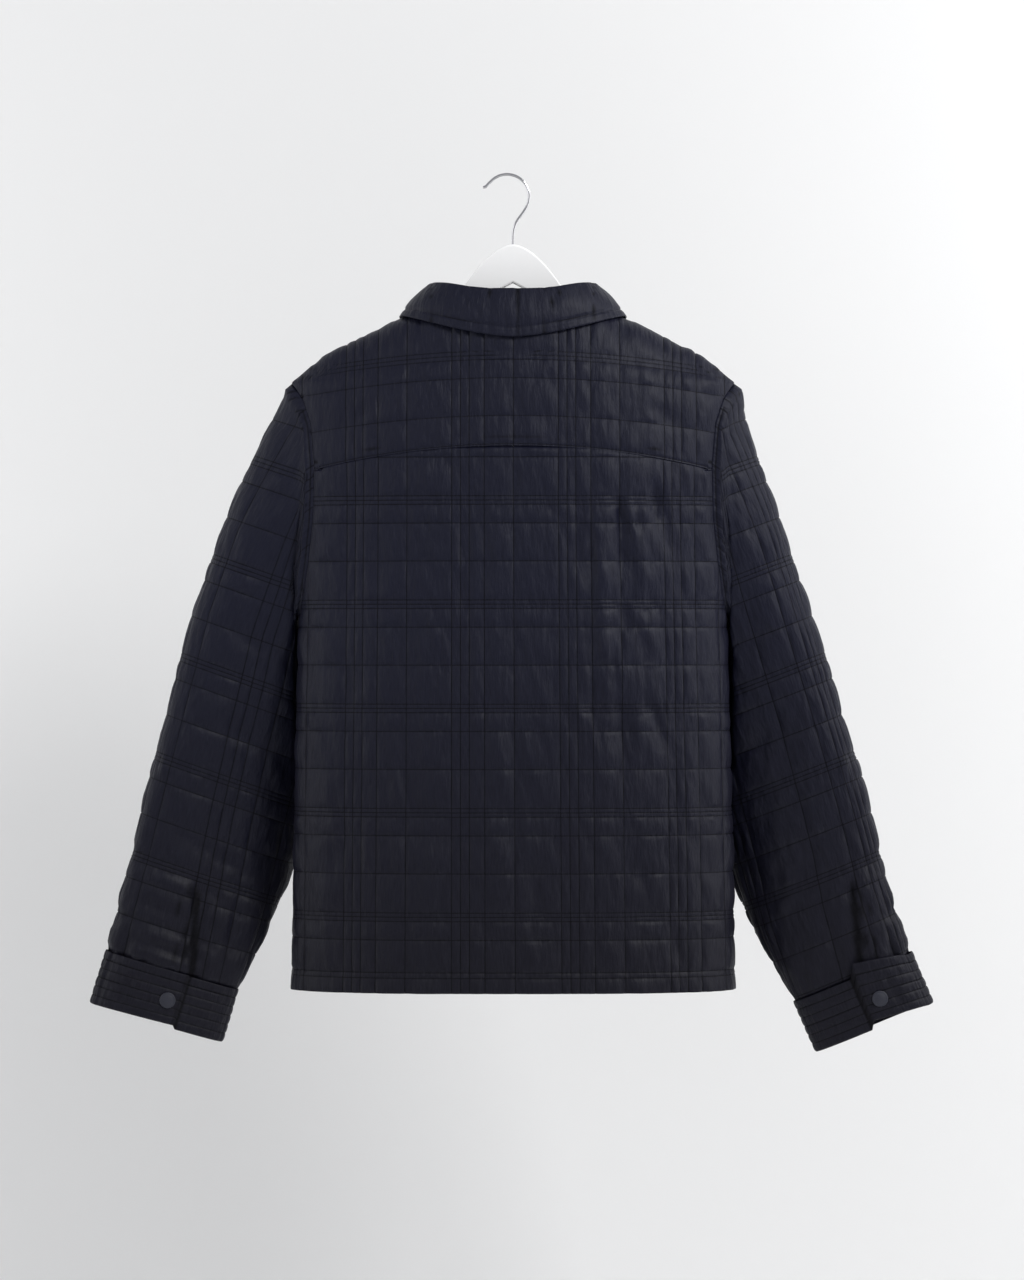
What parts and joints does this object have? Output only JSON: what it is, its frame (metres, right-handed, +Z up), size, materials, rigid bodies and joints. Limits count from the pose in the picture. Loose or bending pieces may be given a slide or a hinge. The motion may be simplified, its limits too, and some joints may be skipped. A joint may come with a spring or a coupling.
{
  "type": "shacket on a hanger",
  "caption": "Padded windowpane-quilted shirt jacket in navy, closed at the front, hanging on a flat wooden hanger with a wire hook.",
  "frame": {"origin": "the point inside the top of the hook where a rail carries it", "axes": "+Z up, +Y to the wearer's front, +X to the wearer's right"},
  "size_m": [0.8419, 0.1542, 0.8806],
  "materials": {
    "navy_cloth": "satin",
    "navy_snap": "matte",
    "white_wood": "satin paint",
    "chrome_wire": "polished"
  },
  "bodies": {
    "root": {"back_panel": "navy_cloth", "back_yoke": "navy_cloth", "front_left": "navy_cloth", "front_right": "navy_cloth", "sleeve_left_back": "navy_cloth", "sleeve_left_front": "navy_cloth", "sleeve_right_back": "navy_cloth", "sleeve_right_front": "navy_cloth", "cuff_left": "navy_cloth", "cuff_right": "navy_cloth", "collar_stand": "navy_cloth", "collar_fall": "navy_cloth", "cuff_snap_left": "navy_snap", "cuff_snap_right": "navy_snap", "front_snap_1": "navy_snap", "front_snap_2": "navy_snap", "front_snap_3": "navy_snap", "front_snap_4": "navy_snap", "front_snap_5": "navy_snap", "front_snap_6": "navy_snap", "hanger_body": "white_wood", "hook_wire": "chrome_wire"}
  },
  "joints": []
}
